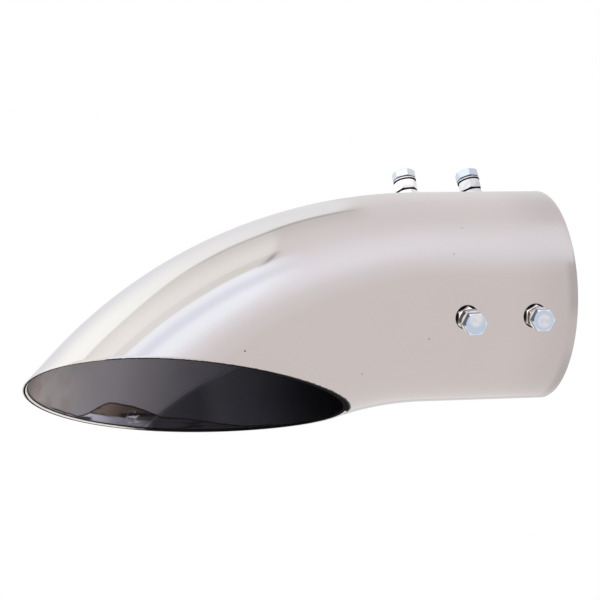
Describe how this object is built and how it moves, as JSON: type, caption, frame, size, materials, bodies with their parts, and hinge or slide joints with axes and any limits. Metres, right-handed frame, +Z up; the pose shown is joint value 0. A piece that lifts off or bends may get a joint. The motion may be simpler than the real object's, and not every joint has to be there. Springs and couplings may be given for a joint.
{
  "type": "exhaust tip",
  "caption": "Turn-down exhaust tip: a polished steel tube with a straight inlet, one bend and a slash-cut outlet, clamped on a tail pipe by hex set bolts with lock nuts.",
  "frame": {"origin": "centre of the inlet's end, on the axis of its bore", "axes": "+X out of the inlet, the way the tail pipe leaves; +Z up; the tube runs to -X and bends down, and its outlet faces down"},
  "size_m": [0.261, 0.1199, 0.1234],
  "materials": {
    "polished_tube": "mirror-polished stainless steel, dull and sooted inside",
    "weld_nuts": "bright steel, welded on",
    "lock_nuts": "bright zinc plate",
    "lock_washers": "zinc-plated spring steel",
    "set_bolts": "bright blue-tinted zinc plate"
  },
  "bodies": {
    "root": {"tip_tube": "polished_tube", "weld_nut_1": "weld_nuts", "weld_nut_2": "weld_nuts", "weld_nut_3": "weld_nuts", "weld_nut_4": "weld_nuts", "weld_nut_5": "weld_nuts", "weld_nut_6": "weld_nuts", "lock_nut_1": "lock_nuts", "lock_nut_2": "lock_nuts", "lock_nut_3": "lock_nuts", "lock_nut_4": "lock_nuts", "lock_nut_5": "lock_nuts", "lock_nut_6": "lock_nuts", "lock_washer_1": "lock_washers", "lock_washer_2": "lock_washers", "lock_washer_3": "lock_washers", "lock_washer_4": "lock_washers", "lock_washer_5": "lock_washers", "lock_washer_6": "lock_washers", "set_bolt_1": "set_bolts", "set_bolt_2": "set_bolts", "set_bolt_3": "set_bolts", "set_bolt_4": "set_bolts", "set_bolt_5": "set_bolts", "set_bolt_6": "set_bolts"}
  },
  "joints": []
}
